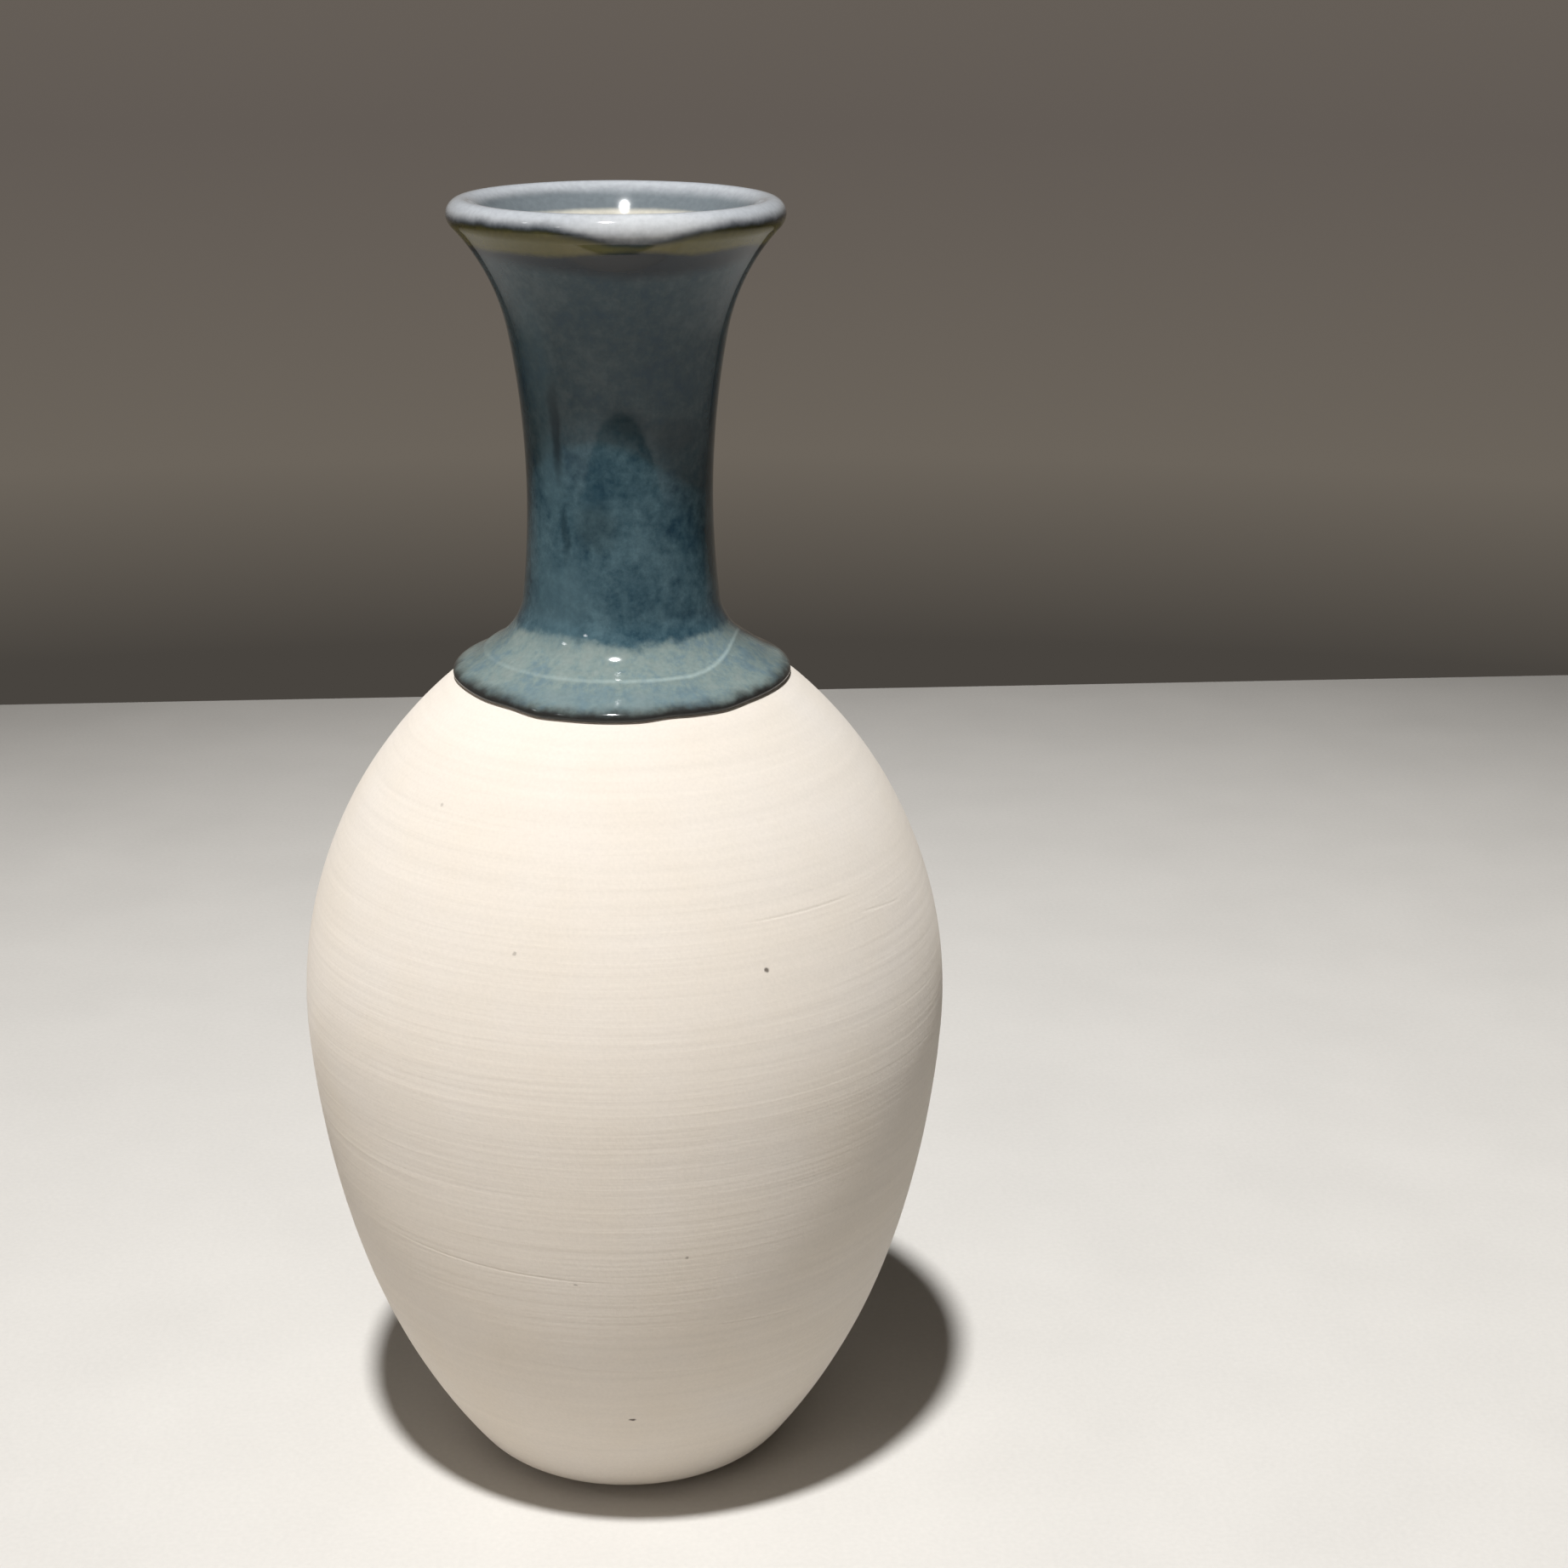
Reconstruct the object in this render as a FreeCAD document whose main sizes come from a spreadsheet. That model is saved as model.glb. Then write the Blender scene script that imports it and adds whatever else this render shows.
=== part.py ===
import FreeCAD, Part
import math
import os
from collections import namedtuple

import Sketcher

# Ceramic bud vase, wheel-thrown. Units are millimetres, +Z is up, and the origin is
# the centre of the foot on the surface the vase stands on.
#
# Four layers, each in its own node:
#   clay_body    the thrown and trimmed stoneware: foot, belly, shoulder, neck and lip
#   neck_glaze   the blue coat outside, from its edge on the shoulder to under the lip
#   lip_glaze    the milky second coat, dipped over the lip, outside and in
#   liner_glaze  the coat inside that makes the vase hold water
#
# An outline is a chain of rounds and flats, each tangent to the next. A skin is the
# clay's own outline moved out by the skin's thickness: the centres stay where they are
# and only the radii change, so a coat follows the clay exactly.

SIZES = {
    "clay_height": (180.0, "top of the clay lip"),
    "belly_radius": (45.0, "widest half width"),
    "belly_height": (69.7, "height of the widest place"),
    "belly_curve": (60.0, "profile radius of belly and shoulder"),
    "flank_curve": (143.0, "profile radius of the upper flank"),
    "flank_height": (75.0, "height of the upper flank's centre"),
    "heel_curve": (98.0, "profile radius of the lower flank"),
    "heel_height": (62.1, "height of the lower flank's centre"),
    "foot_curve": (9.1, "rounded edge of the foot"),
    "waist_radius": (12.05, "narrowest half width of the neck"),
    "waist_height": (141.1, "height of the narrowest place"),
    "neck_curve": (119.0, "hollow profile radius of the neck"),
    "root_curve": (9.4, "hollow round between shoulder and neck"),
    "flare_curve": (28.0, "hollow round under the lip"),
    "rim_radius": (21.75, "outermost half width of the clay lip"),
    "lip_curve": (1.6, "rounded lip, half the wall there"),
    "mouth_curve": (36.0, "inside round from lip to bore"),
    "bore_radius": (9.1, "straight bore of the neck"),
    "edge_curve": (4.0, "round where the bore opens into the belly"),
    "wall": (4.0, "clay wall of the belly"),
    "floor_height": (7.0, "inside floor above the ground"),
    "bowl_curve": (12.0, "inside round between floor and wall"),
    "recess_radius": (13.0, "trimmed hollow under the foot"),
    "recess_depth": (0.8, "depth of the trimmed hollow"),
    "recess_edge": (0.4, "softened edge of the trimmed hollow"),
    "glaze": (0.5, "thickness of each coat"),
    "glaze_edge": (115.3, "height of the blue coat's lower edge"),
    "dip_line": (175.6, "level of the milky dip"),
    "zone_radius": (50.0, "reach of the solids that part the coats"),
    "zone_height": (20.0, "height of the solid over the dip line"),
}

doc = FreeCAD.newDocument("bud_vase")
sheet = doc.addObject("Spreadsheet::Sheet", "Sizes")
for row, (alias, (value, note)) in enumerate(SIZES.items(), start=1):
    sheet.set(f"A{row}", note)
    sheet.set(f"B{row}", str(value))
    sheet.setAlias(f"B{row}", alias)
doc.recompute()

# A round is one arc of an outline. side is +1 where the clay bulges and -1 where it is
# hollow. radius_rule gives its radius in terms of the sheet; across and height do the
# same for its centre, and are None where the neighbours' tangency gives the place.
Round = namedtuple("Round", "name side centre radius radius_rule across height")
# A flat is one straight line of an outline, known by the way it faces.
Flat = namedtuple("Flat", "name facing")
# A drawn item knows its number in the sketch and which of its ends come first and last.
Drawn = namedtuple("Drawn", "item number first last")

DOWN = FreeCAD.Vector(0, -1, 0)
UP = FreeCAD.Vector(0, 1, 0)
INWARD = FreeCAD.Vector(-1, 0, 0)
START = 1
END = 2
CENTRE = 3
ORIGIN = (-1, 1)
VERTICAL_AXIS = -2


def size(alias):
    """A driving dimension's value."""
    return SIZES[alias][0]


def bulge(name, centre, across=None, height=None):
    """A round whose clay lies on its centre's side."""
    alias = name + "_curve"
    return Round(name, 1, centre, size(alias), "Sizes." + alias, across, height)


def hollow(name, centre, across=None, height=None):
    """A round whose clay lies away from its centre."""
    alias = name + "_curve"
    return Round(name, -1, centre, size(alias), "Sizes." + alias, across, height)


def wall_inside(outer):
    """The inside of the wall along an outer round, one wall thickness in."""
    return Round("inner_" + outer.name, -1, outer.centre, outer.radius - size("wall"),
                 outer.radius_rule + " - Sizes.wall", outer.across, outer.height)


def beside(neighbour, reach, height, direction):
    """A centre at a given height, a given reach from a neighbour's centre."""
    rise = height - neighbour.y
    run = math.sqrt(reach ** 2 - rise ** 2)
    return FreeCAD.Vector(neighbour.x + direction * run, height, 0)


def between(lower, lower_reach, upper, upper_reach):
    """A centre at given reaches from two others, to the left of the line between them."""
    line = upper - lower
    span = line.Length
    along = (lower_reach ** 2 - upper_reach ** 2 + span ** 2) / (2 * span)
    off = math.sqrt(lower_reach ** 2 - along ** 2)
    forward = line * (1 / span)
    leftward = FreeCAD.Vector(-forward.y, forward.x, 0)
    return lower + forward * along + leftward * off


def above(neighbour, reach, across):
    """A centre at a given distance from the axis, a given reach above a neighbour's."""
    run = across - neighbour.x
    return FreeCAD.Vector(across, neighbour.y + math.sqrt(reach ** 2 - run ** 2), 0)


def below(neighbour, reach, across):
    """A centre at a given distance from the axis, a given reach below a neighbour's."""
    run = across - neighbour.x
    return FreeCAD.Vector(across, neighbour.y - math.sqrt(reach ** 2 - run ** 2), 0)


def outer_rounds():
    """The outside of the clay, from the foot to the lip."""
    belly = FreeCAD.Vector(size("belly_radius") - size("belly_curve"), size("belly_height"), 0)
    flank = beside(belly, size("flank_curve") - size("belly_curve"), size("flank_height"), -1)
    heel = beside(flank, size("flank_curve") - size("heel_curve"), size("heel_height"), 1)
    foot = beside(heel, size("heel_curve") - size("foot_curve"), size("foot_curve"), 1)
    neck = FreeCAD.Vector(size("waist_radius") + size("neck_curve"), size("waist_height"), 0)
    root = between(belly, size("belly_curve") + size("root_curve"),
                   neck, size("neck_curve") - size("root_curve"))
    lip = FreeCAD.Vector(size("rim_radius") - size("lip_curve"),
                         size("clay_height") - size("lip_curve"), 0)
    flare = between(neck, size("neck_curve") - size("flare_curve"),
                    lip, size("flare_curve") + size("lip_curve"))
    return [
        bulge("foot", foot, height="Sizes.foot_curve"),
        bulge("heel", heel, height="Sizes.heel_height"),
        bulge("flank", flank, height="Sizes.flank_height"),
        bulge("belly", belly, across="Sizes.belly_radius - Sizes.belly_curve",
              height="Sizes.belly_height"),
        hollow("root", root),
        hollow("neck", neck, across="Sizes.waist_radius + Sizes.neck_curve",
               height="Sizes.waist_height"),
        hollow("flare", flare),
        bulge("lip", lip, across="Sizes.rim_radius - Sizes.lip_curve",
              height="Sizes.clay_height - Sizes.lip_curve"),
    ]


def inner_items(outer):
    """The inside of the clay, from the lip down to the floor."""
    foot, heel, flank, belly, root, neck, flare, lip = outer
    mouth = below(lip.centre, size("mouth_curve") - size("lip_curve"),
                  size("bore_radius") + size("mouth_curve"))
    edge = above(belly.centre, size("belly_curve") - size("wall") + size("edge_curve"),
                 size("bore_radius") + size("edge_curve"))
    bowl = beside(heel.centre, size("heel_curve") - size("wall") - size("bowl_curve"),
                  size("floor_height") + size("bowl_curve"), 1)
    return [
        bulge("mouth", mouth),
        Flat("bore", INWARD),
        bulge("edge", edge),
        wall_inside(belly),
        wall_inside(flank),
        wall_inside(heel),
        hollow("bowl", bowl),
        Flat("floor", UP),
    ]


def facing_between(first, second):
    """The way the surface faces where one item of an outline meets the next."""
    for item in (first, second):
        if isinstance(item, Flat):
            return item.facing
    reach = first.side * first.radius - second.side * second.radius
    return (second.centre - first.centre) * (1 / reach)


def rim_point(item, facing, skin):
    """The point of a round whose surface faces a given way, with its skin on."""
    return item.centre + facing * (item.side * item.radius + skin)


def draw_round(sketch, item, start_facing, end_facing, skin):
    """Draws a round between the places where its surface faces two given ways."""
    radius = item.radius + item.side * skin
    circle = Part.Circle(item.centre, FreeCAD.Vector(0, 0, 1), radius)
    angles = []
    for facing in (start_facing, end_facing):
        toward = facing * item.side
        angles.append(math.atan2(toward.y, toward.x))
    if item.side < 0:
        angles.reverse()
    if angles[1] < angles[0]:
        angles[1] += 2 * math.pi
    number = sketch.addGeometry(Part.ArcOfCircle(circle, *angles), False)
    if item.side > 0:
        return Drawn(item, number, START, END)
    return Drawn(item, number, END, START)


def draw_flat(sketch, item, first_point, last_point):
    """Draws a flat. An end that no round gives lies on the axis."""
    first_point = first_point or FreeCAD.Vector(0, last_point.y, 0)
    last_point = last_point or FreeCAD.Vector(0, first_point.y, 0)
    number = sketch.addGeometry(Part.LineSegment(first_point, last_point), False)
    return Drawn(item, number, START, END)


def draw_items(sketch, items, skin):
    """Draws the rounds and flats of an outline in their order."""
    facings = [facing_between(*pair) for pair in zip(items, items[1:])]
    drawn = []
    for place, item in enumerate(items):
        if isinstance(item, Round):
            drawn.append(draw_round(sketch, item, facings[place - 1], facings[place], skin))
            continue
        first_point = None
        last_point = None
        if place > 0:
            first_point = rim_point(items[place - 1], item.facing, skin)
        if place < len(items) - 1:
            last_point = rim_point(items[place + 1], item.facing, skin)
        drawn.append(draw_flat(sketch, item, first_point, last_point))
    return drawn


def constrain(sketch, kind, *parts):
    """Adds a constraint without a size."""
    sketch.addConstraint(Sketcher.Constraint(kind, *parts))


def drive(sketch, kind, *parts, rule):
    """Adds a dimension and ties it to its rule in terms of the sheet."""
    index = sketch.addConstraint(Sketcher.Constraint(kind, *parts))
    sketch.setExpression(f"Constraints[{index}]", rule)


def join_items(sketch, drawn):
    """Makes each item tangent to the next and closes the outline along the axis."""
    for one, other in zip(drawn, drawn[1:]):
        constrain(sketch, "Tangent", one.number, one.last, other.number, other.first)
    lowest = drawn[0]
    highest = drawn[-1]
    axis_line = sketch.addGeometry(Part.LineSegment(
        sketch.getPoint(highest.number, highest.last),
        sketch.getPoint(lowest.number, lowest.first)), False)
    constrain(sketch, "Coincident", highest.number, highest.last, axis_line, START)
    constrain(sketch, "Coincident", axis_line, END, lowest.number, lowest.first)
    constrain(sketch, "PointOnObject", axis_line, START, VERTICAL_AXIS)
    constrain(sketch, "PointOnObject", axis_line, END, VERTICAL_AXIS)


def size_round(sketch, one, skin, skin_rule):
    """Ties a round's radius, and its centre where it has a rule, to the sheet."""
    item = one.item
    sign = "+" if item.side > 0 else "-"
    drive(sketch, "Radius", one.number, item.radius + item.side * skin,
          rule=f"{item.radius_rule} {sign} ({skin_rule})")
    if item.across:
        drive(sketch, "DistanceX", *ORIGIN, one.number, CENTRE, item.centre.x,
              rule=item.across)
    if item.height:
        drive(sketch, "DistanceY", *ORIGIN, one.number, CENTRE, item.centre.y,
              rule=item.height)


def size_flat(sketch, one, skin, skin_rule):
    """Squares a flat, and ties the bore and the floor to the sheet."""
    name = one.item.name
    constrain(sketch, "Vertical" if name == "bore" else "Horizontal", one.number)
    if name == "bore":
        drive(sketch, "DistanceX", *ORIGIN, one.number, START, size("bore_radius") - skin,
              rule=f"Sizes.bore_radius - ({skin_rule})")
    if name == "floor":
        drive(sketch, "DistanceY", *ORIGIN, one.number, START, size("floor_height") + skin,
              rule=f"Sizes.floor_height + ({skin_rule})")


def draw_outline(sketch, items, skin, skin_rule):
    """Draws an outline moved out by a skin's thickness, held by its dimensions."""
    drawn = draw_items(sketch, items, skin)
    join_items(sketch, drawn)
    for one in drawn:
        if isinstance(one.item, Round):
            size_round(sketch, one, skin, skin_rule)
        else:
            size_flat(sketch, one, skin, skin_rule)


def origin_plane(body, role):
    """One of a body's own origin planes."""
    for feature in body.Origin.OriginFeatures:
        if feature.Role == role:
            return feature
    raise RuntimeError(f"{body.Label} has no {role}")


def new_sketch(body, name, role):
    """A sketch on one of a body's own origin planes."""
    sketch = body.newObject("Sketcher::SketchObject", name)
    sketch.AttachmentSupport = [(origin_plane(body, role), "")]
    sketch.MapMode = "FlatFace"
    return sketch


def turned_body(name, items, skin=0.0, skin_rule="0"):
    """A body made by turning one closed outline about the vase's axis."""
    body = doc.addObject("PartDesign::Body", name)
    body.Label = name
    sketch = new_sketch(body, name + "_outline", "XZ_Plane")
    draw_outline(sketch, items, skin, skin_rule)
    doc.recompute()
    turned = body.newObject("PartDesign::Revolution", name + "_turned")
    turned.Profile = sketch
    turned.ReferenceAxis = (sketch, ["V_Axis"])
    turned.Angle = 360.0
    doc.recompute()
    return body


def trim_foot(body):
    """Trims the shallow hollow under the foot and softens its edge."""
    volume_before = body.Shape.Volume
    sketch = new_sketch(body, "recess_outline", "XY_Plane")
    ring = sketch.addGeometry(
        Part.Circle(FreeCAD.Vector(), FreeCAD.Vector(0, 0, 1), size("recess_radius")), False)
    sketch.addConstraint(Sketcher.Constraint("Coincident", ring, CENTRE, *ORIGIN))
    drive(sketch, "Radius", ring, size("recess_radius"), rule="Sizes.recess_radius")
    doc.recompute()
    recess = body.newObject("PartDesign::Pocket", "foot_recess")
    recess.Profile = sketch
    recess.Reversed = True
    recess.setExpression("Length", "Sizes.recess_depth")
    doc.recompute()
    expected = math.pi * size("recess_radius") ** 2 * size("recess_depth")
    if abs(volume_before - body.Shape.Volume - expected) > 0.01 * expected:
        raise RuntimeError("the foot's recess cuts the wrong volume")
    rim = []
    for number, edge in enumerate(recess.Shape.Edges, start=1):
        on_ground = abs(edge.BoundBox.ZMax) < 1e-6
        if on_ground and abs(edge.BoundBox.XMax - size("recess_radius")) < 1e-6:
            rim.append(f"Edge{number}")
    softened = body.newObject("PartDesign::Fillet", "recess_edge")
    softened.Base = (recess, rim)
    softened.setExpression("Radius", "Sizes.recess_edge")
    doc.recompute()


def zone(name, bottom_rule, height_rule):
    """A plain cylinder that parts one coat from the next."""
    cylinder = doc.addObject("Part::Cylinder", name)
    cylinder.setExpression("Radius", "Sizes.zone_radius")
    cylinder.setExpression("Height", height_rule)
    cylinder.setExpression("Placement.Base.z", bottom_rule)
    return cylinder


def boolean(kind, name, base, tool):
    """A parametric Cut or Common of two objects."""
    result = doc.addObject("Part::" + kind, name)
    result.Base = base
    result.Tool = tool
    return result


outside = outer_rounds()
ground = Flat("ground", DOWN)
top = Flat("top", UP)
wall_outline = [ground, *outside, *inner_items(outside)]
solid_outline = [ground, *outside, top]

clay_body = turned_body("clay_body", wall_outline)
trim_foot(clay_body)

# The coats are cut from the clay's form with a skin all over. The heart is a solid whose
# surface runs inside the wall, so it parts what is outside the vase from what is within.
glazed_form = turned_body("glazed_form", wall_outline, size("glaze"), "Sizes.glaze")
heart = turned_body("heart", solid_outline, -size("lip_curve") / 2, "-Sizes.lip_curve / 2")
skin_all_over = boolean("Cut", "skin_all_over", glazed_form, clay_body)
above_dip = zone("above_dip", "Sizes.dip_line", "Sizes.zone_height")
neck_zone = zone("neck_zone", "Sizes.glaze_edge", "Sizes.dip_line - Sizes.glaze_edge")
liner_zone = zone("liner_zone", "Sizes.floor_height / 2",
                  "Sizes.dip_line - Sizes.floor_height / 2")

outer_skin = boolean("Cut", "outer_skin", skin_all_over, heart)
inner_skin = boolean("Common", "inner_skin", skin_all_over, heart)
neck_glaze = boolean("Common", "neck_glaze", outer_skin, neck_zone)
lip_glaze = boolean("Common", "lip_glaze", skin_all_over, above_dip)
liner_glaze = boolean("Common", "liner_glaze", inner_skin, liner_zone)
nodes = [clay_body, neck_glaze, lip_glaze, liner_glaze]
doc.recompute()

for item in doc.Objects:
    if "Invalid" in item.State or "Error" in item.State:
        raise RuntimeError(f"{item.Label} failed: {item.State}")
for sketch in doc.findObjects("Sketcher::SketchObject"):
    if sketch.solve() != 0 or not sketch.FullyConstrained:
        raise RuntimeError(f"{sketch.Label} isn't held by its dimensions")
for node in nodes:
    shape = node.Shape
    if shape.isNull() or not shape.isValid() or len(shape.Solids) != 1:
        raise RuntimeError(f"{node.Label} isn't one sound solid")

os.makedirs("parts", exist_ok=True)
for node in nodes:
    node.Shape.exportStep(f"parts/{node.Label}.step")
    print(f"{node.Label}: {node.Shape.Volume / 1000:.2f} cm3")
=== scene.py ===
import math
from collections import namedtuple

import bpy
from mathutils import Matrix, Vector, noise


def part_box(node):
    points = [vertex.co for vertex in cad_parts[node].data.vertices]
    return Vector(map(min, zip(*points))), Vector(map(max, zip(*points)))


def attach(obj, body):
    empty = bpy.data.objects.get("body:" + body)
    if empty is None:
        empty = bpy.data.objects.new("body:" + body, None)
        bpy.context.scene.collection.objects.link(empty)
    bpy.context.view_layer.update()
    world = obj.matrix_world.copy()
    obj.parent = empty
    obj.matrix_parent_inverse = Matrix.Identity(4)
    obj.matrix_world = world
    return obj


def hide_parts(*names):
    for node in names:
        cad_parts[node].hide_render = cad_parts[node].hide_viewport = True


# A wheel-thrown stoneware bud vase: bare clay below, a blue and teal glaze poured over
# the shoulder and neck, a milky second dip over the lip, and a cream liner inside.
# Metres, +Z up, the origin at the centre of the foot. Turns (azimuths) are in degrees,
# 0 towards -Y and growing towards +X.

bl_info = {
    "name": "Ceramic Bud Vase",
    "version": (1, 0, 0),
    "blender": (4, 5, 0),
    "location": "3D View > Sidebar > Vase",
    "description": "Models a thrown stoneware bud vase with a poured neck glaze",
    "category": "Add Mesh",
}

MM = 0.001
# Vertices closer than this are one vertex
WELD = 0.001 * MM
# Height of the blue coat's edge before it is slid along the shoulder
EDGE_BASE = 116 * MM
# How far above the edge that slide dies out
EDGE_REACH = 6 * MM

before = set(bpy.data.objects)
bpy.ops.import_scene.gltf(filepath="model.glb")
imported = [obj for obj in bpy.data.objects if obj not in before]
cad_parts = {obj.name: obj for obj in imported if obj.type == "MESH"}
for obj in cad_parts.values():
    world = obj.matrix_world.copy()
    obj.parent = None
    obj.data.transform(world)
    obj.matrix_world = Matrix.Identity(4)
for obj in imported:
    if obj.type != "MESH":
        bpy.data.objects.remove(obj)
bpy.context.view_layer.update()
_, clay_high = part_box("clay_body")
lip_low, lip_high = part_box("lip_glaze")


# Sizes and colours

def length(name, description, metres):
    """A size in metres."""
    return bpy.props.FloatProperty(
        name=name, description=description, default=metres, unit="LENGTH", precision=5)


def linear(hex_code):
    """The linear colour of an sRGB hex code."""
    channels = [int(hex_code[i:i + 2], 16) / 255 for i in (1, 3, 5)]
    return tuple(c / 12.92 if c <= 0.04045 else ((c + 0.055) / 1.055) ** 2.4 for c in channels)


def colour(name, description, hex_code):
    """A colour given by its sRGB hex code."""
    return bpy.props.FloatVectorProperty(
        name=name, description=description, default=linear(hex_code), subtype="COLOR",
        size=3, min=0.0, max=1.0)


class VaseSizes(bpy.types.PropertyGroup):
    """The sizes that shape the vase."""

    clay_height: length("Clay height", "Top of the clay lip", clay_high.z)
    belly_radius: length("Belly radius", "Widest half width", clay_high.x)
    belly_height: length("Belly height", "Height of the widest place", 69.7 * MM)
    belly_curve: length("Belly curve", "Profile radius of belly and shoulder", 60 * MM)
    flank_curve: length("Flank curve", "Profile radius of the upper flank", 143 * MM)
    flank_height: length("Flank height", "Height of the upper flank's centre", 75 * MM)
    heel_curve: length("Heel curve", "Profile radius of the lower flank", 98 * MM)
    heel_height: length("Heel height", "Height of the lower flank's centre", 62.1 * MM)
    foot_curve: length("Foot curve", "Rounded edge of the foot", 9.1 * MM)
    waist_radius: length("Waist radius", "Narrowest half width of the neck", 12.05 * MM)
    waist_height: length("Waist height", "Height of the narrowest place", 141.1 * MM)
    neck_curve: length("Neck curve", "Hollow profile radius of the neck", 119 * MM)
    root_curve: length("Root curve", "Hollow round between shoulder and neck", 9.4 * MM)
    flare_curve: length("Flare curve", "Hollow round under the lip", 28 * MM)
    rim_radius: length("Rim radius", "Outermost half width of the clay lip", 21.75 * MM)
    lip_curve: length("Lip curve", "Rounded lip, half the wall there", 1.6 * MM)
    mouth_curve: length("Mouth curve", "Inside round from lip to bore", 36 * MM)
    bore_radius: length("Bore radius", "Straight bore of the neck", 9.1 * MM)
    edge_curve: length("Edge curve", "Round where the bore opens", 4 * MM)
    wall: length("Wall", "Clay wall of the belly", 4 * MM)
    floor_height: length("Floor height", "Inside floor above the ground", 7 * MM)
    bowl_curve: length("Bowl curve", "Inside round between floor and wall", 12 * MM)
    recess_radius: length("Recess radius", "Trimmed hollow under the foot", 13 * MM)
    recess_depth: length("Recess depth", "Depth of the trimmed hollow", 0.8 * MM)
    recess_edge: length("Recess edge", "Softened edge of the trimmed hollow", 0.4 * MM)
    glaze: length("Glaze", "Thickness of each coat", lip_high.z - clay_high.z)
    sink: length("Sink", "How far a coat keys into the clay", 0.15 * MM)
    dip_line: length("Dip line", "Level of the milky dip", lip_low.z)
    bead: length("Bead", "Extra thickness of the rolled lower edge", 0.45 * MM)


class VaseColours(bpy.types.PropertyGroup):
    """The colours of clay and glazes."""

    clay: colour("Clay", "Fired bare stoneware", "#ded8d1")
    clay_warm: colour("Warm clay", "Warmer clouds in the clay", "#dbd2c5")
    iron: colour("Iron", "Iron specks", "#5d544c")
    # The edge line is partly the coat's own dark glaze and partly painted shade where the rolled
    # bead sits on the clay
    edge: colour("Edge", "Dark line where the glaze stops", "#2b2b2a")
    collar: colour("Collar", "Teal collar over the shoulder", "#748381")
    collar_blue: colour("Blue collar", "Bluer clouds in the collar", "#65787e")
    collar_grey: colour("Grey collar", "Greyer clouds in the collar", "#7b8784")
    ring: colour("Ring", "Pale ring round the collar", "#a3b3b1")
    root: colour("Root", "Blue at the root of the neck", "#38505a")
    neck: colour("Neck", "Deep blue of the neck", "#1b3543")
    # The upper neck's grey teal and its pale grey clouds are partly the glaze's own colour and
    # partly a painted reflection
    neck_grey: colour("Grey neck", "Grey teal of the upper neck", "#2a3e46")
    pale_cloud_and_sheen: colour("Veil", "Pale grey clouds of the upper neck", "#3b4a50")
    # Navy is the darkest pools of the blue, and also painted shade down the neck's two sides and a
    # painted dark reflection just above the arch
    navy_pool_and_shade: colour("Navy", "Darkest pools of the blue", "#04161f")
    pale: colour("Pale blue", "Palest clouds of the blue", "#4d656e")
    olive: colour("Olive", "Olive patch low on the neck", "#3d4a4a")
    band: colour("Band", "Dark band under the amber", "#0c1a24")
    amber: colour("Amber", "Olive amber where the two dips overlap", "#57522b")
    milk: colour("Milk", "Milky white of the lip", "#a9adb2")
    opal: colour("Opal", "Thickest white of the lip", "#d2d4d5")
    inner_grey: colour("Inner grey", "Blue grey just inside the lip", "#6c7479")
    cream: colour("Cream", "Cream liner", "#c0bdb2")
    table: colour("Table", "Plaster table top", "#cac7c2")
    wall: colour("Wall", "Plain backdrop", "#6b645b")
    wall_low: colour("Low wall", "Backdrop near the table", "#48443f")
    wall_high: colour("High wall", "Backdrop above the vase", "#625b55")
    room: colour("Room", "Dim room above and behind", "#3c3935")


# Outlines: chains of rounds, each tangent to the next

# side is +1 where the clay bulges and -1 where it is hollow
Round = namedtuple("Round", "across height radius side")
# A part of a round. reach is the signed distance from the centre to the line, and the
# two facings are the directions, in radians above level, that its ends look in.
Arc = namedtuple("Arc", "across height reach first last spacing")
Point = namedtuple("Point", "across height spacing")


def beside(neighbour, reach, height, direction):
    """Half width of a centre at a given height, a given reach from a neighbour's centre."""
    rise = height - neighbour.height
    return neighbour.across + direction * math.sqrt(reach ** 2 - rise ** 2)


def between(lower, lower_reach, upper, upper_reach):
    """A centre at given reaches from two others, to the left of the line between them."""
    run = upper.across - lower.across
    rise = upper.height - lower.height
    span = math.hypot(run, rise)
    along = (lower_reach ** 2 - upper_reach ** 2 + span ** 2) / (2 * span)
    off = math.sqrt(lower_reach ** 2 - along ** 2)
    across = lower.across + (run * along - rise * off) / span
    height = lower.height + (rise * along + run * off) / span
    return across, height


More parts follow.
